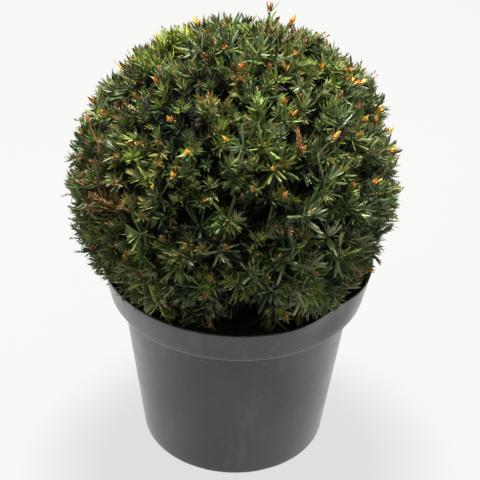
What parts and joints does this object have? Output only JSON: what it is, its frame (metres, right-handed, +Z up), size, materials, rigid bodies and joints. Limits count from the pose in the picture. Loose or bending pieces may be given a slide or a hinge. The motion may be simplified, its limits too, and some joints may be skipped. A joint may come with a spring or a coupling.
{
  "type": "potted farmen yew",
  "caption": "Evergreen yew with dark needles, clipped to a ball, in a round dark plastic nursery pot.",
  "frame": {"origin": "centre of the pot's flat underside", "axes": "+Z up along the pot's axis, -Y towards the front, +X to the right seen from the front"},
  "size_m": [0.304, 0.3036, 0.4606],
  "materials": {
    "pot": "dark grey moulded plastic, slightly glossy, with fine scuffs",
    "growing_medium": "dark damp peat and bark crumbs",
    "bark": "reddish brown, thin and flaking",
    "foliage": "dark green glossy needles, paler underneath, with orange-brown buds"
  },
  "bodies": {
    "root": {"pot": "pot", "growing_medium": "growing_medium", "trunk": "bark", "bough_upper_1": "bark", "bough_upper_2": "bark", "bough_upper_3": "bark", "bough_upper_4": "bark", "bough_upper_5": "bark", "bough_lower_1": "bark", "bough_lower_2": "bark", "bough_lower_3": "bark", "bough_lower_4": "bark", "bough_lower_5": "bark", "bough_lower_6": "bark", "bough_lower_7": "bark", "foliage_top": "foliage", "foliage_upper_1": "foliage", "foliage_upper_2": "foliage", "foliage_upper_3": "foliage", "foliage_upper_4": "foliage", "foliage_upper_5": "foliage", "foliage_lower_1": "foliage", "foliage_lower_2": "foliage", "foliage_lower_3": "foliage", "foliage_lower_4": "foliage", "foliage_lower_5": "foliage", "foliage_lower_6": "foliage", "foliage_lower_7": "foliage"}
  },
  "joints": []
}
